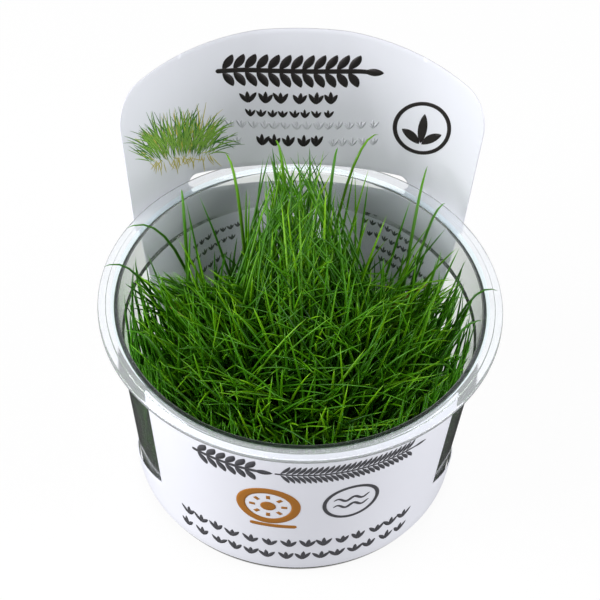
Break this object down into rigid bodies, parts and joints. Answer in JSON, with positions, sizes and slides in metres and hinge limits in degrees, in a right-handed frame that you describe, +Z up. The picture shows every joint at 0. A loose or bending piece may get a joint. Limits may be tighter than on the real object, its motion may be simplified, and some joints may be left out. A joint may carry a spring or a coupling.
{
  "type": "dwarf hairgrass in a tissue-culture cup",
  "caption": "Tufts of fine grass-like aquarium plant on gel in a round clear cup with a broad rim, wrapped in a label sheet with open sides and a tall back tab, slotted for the rim.",
  "frame": {"origin": "centre of the cup's flat base, on the surface it stands on", "axes": "+Z up out of the cup's mouth; -Y is the label's front, +Y the tall back tab, +X to the right seen from the front"},
  "size_m": [0.101, 0.1045, 0.1007],
  "materials": {
    "clear_plastic": "clear moulded plastic, glossy",
    "label_sheet": "white printed sheet, satin",
    "gel": "clear culture gel, wet gloss",
    "grass": "living leaf, soft sheen"
  },
  "bodies": {
    "root": {"cup": "clear_plastic", "label_sleeve": "label_sheet", "nutrient_gel": "gel", "hairgrass_tuft_01": "grass", "hairgrass_tuft_02": "grass", "hairgrass_tuft_03": "grass", "hairgrass_tuft_04": "grass", "hairgrass_tuft_05": "grass", "hairgrass_tuft_06": "grass", "hairgrass_tuft_07": "grass", "hairgrass_tuft_08": "grass", "hairgrass_tuft_09": "grass", "hairgrass_tuft_10": "grass", "hairgrass_tuft_11": "grass", "hairgrass_tuft_12": "grass", "hairgrass_tuft_13": "grass", "hairgrass_tuft_14": "grass", "hairgrass_tuft_15": "grass", "hairgrass_tuft_16": "grass", "hairgrass_tuft_17": "grass", "hairgrass_tuft_18": "grass", "hairgrass_tuft_19": "grass", "hairgrass_tuft_20": "grass", "hairgrass_tuft_21": "grass", "hairgrass_tuft_22": "grass", "hairgrass_tuft_23": "grass", "hairgrass_tuft_24": "grass", "hairgrass_tuft_25": "grass", "hairgrass_tuft_26": "grass", "hairgrass_tuft_27": "grass", "hairgrass_tuft_28": "grass", "hairgrass_tuft_29": "grass", "hairgrass_tuft_30": "grass", "hairgrass_tuft_31": "grass", "hairgrass_tuft_32": "grass", "hairgrass_tuft_33": "grass", "hairgrass_tuft_34": "grass", "hairgrass_tuft_35": "grass", "hairgrass_tuft_36": "grass", "hairgrass_tuft_37": "grass", "hairgrass_tuft_38": "grass", "hairgrass_tuft_39": "grass", "hairgrass_tuft_40": "grass"}
  },
  "joints": []
}
